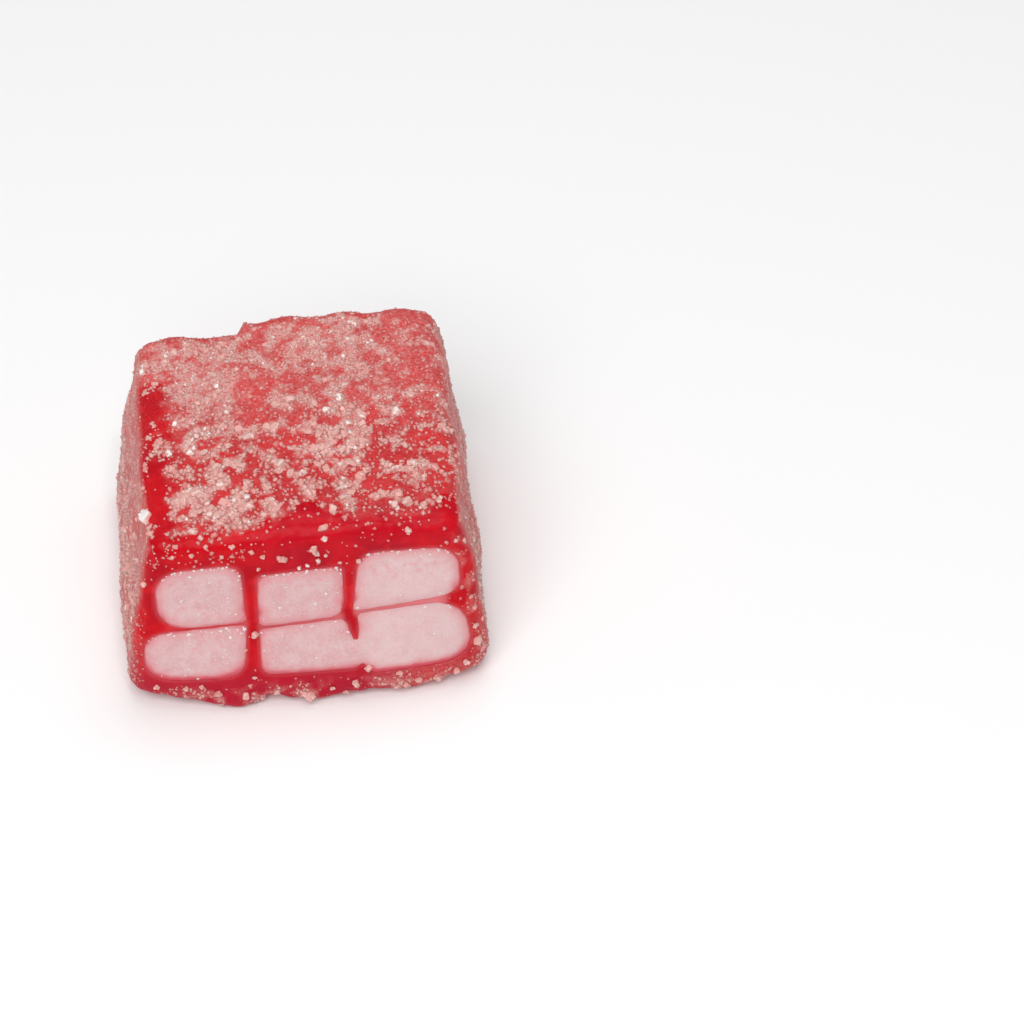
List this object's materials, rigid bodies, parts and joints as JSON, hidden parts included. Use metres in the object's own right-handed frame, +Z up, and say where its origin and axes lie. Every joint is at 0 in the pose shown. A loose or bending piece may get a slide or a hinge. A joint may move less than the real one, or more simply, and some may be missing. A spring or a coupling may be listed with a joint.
{
  "type": "sugared liquorice brick",
  "caption": "Block of red sugared gel candy with pale pink filling strands that run through it and show at both cut ends.",
  "frame": {"origin": "under the middle of the candy's box, on the surface it lies on", "axes": "+X across the strands, +Y along the strands from the front cut to the far end, +Z up through the candy's thickness"},
  "size_m": [0.024, 0.0232, 0.0143],
  "materials": {
    "red_gel": "glossy translucent red gel with sugar crystals stuck to it",
    "pink_filling": "matte, fine-grained pale pink fondant",
    "sugar": "clear to white sugar crystals, tinted pink by the gel under them"
  },
  "bodies": {
    "root": {"gel_body": "red_gel", "filling_upper_left": "pink_filling", "filling_upper_middle": "pink_filling", "filling_upper_right": "pink_filling", "filling_lower_left": "pink_filling", "filling_lower_double": "pink_filling"}
  },
  "joints": []
}
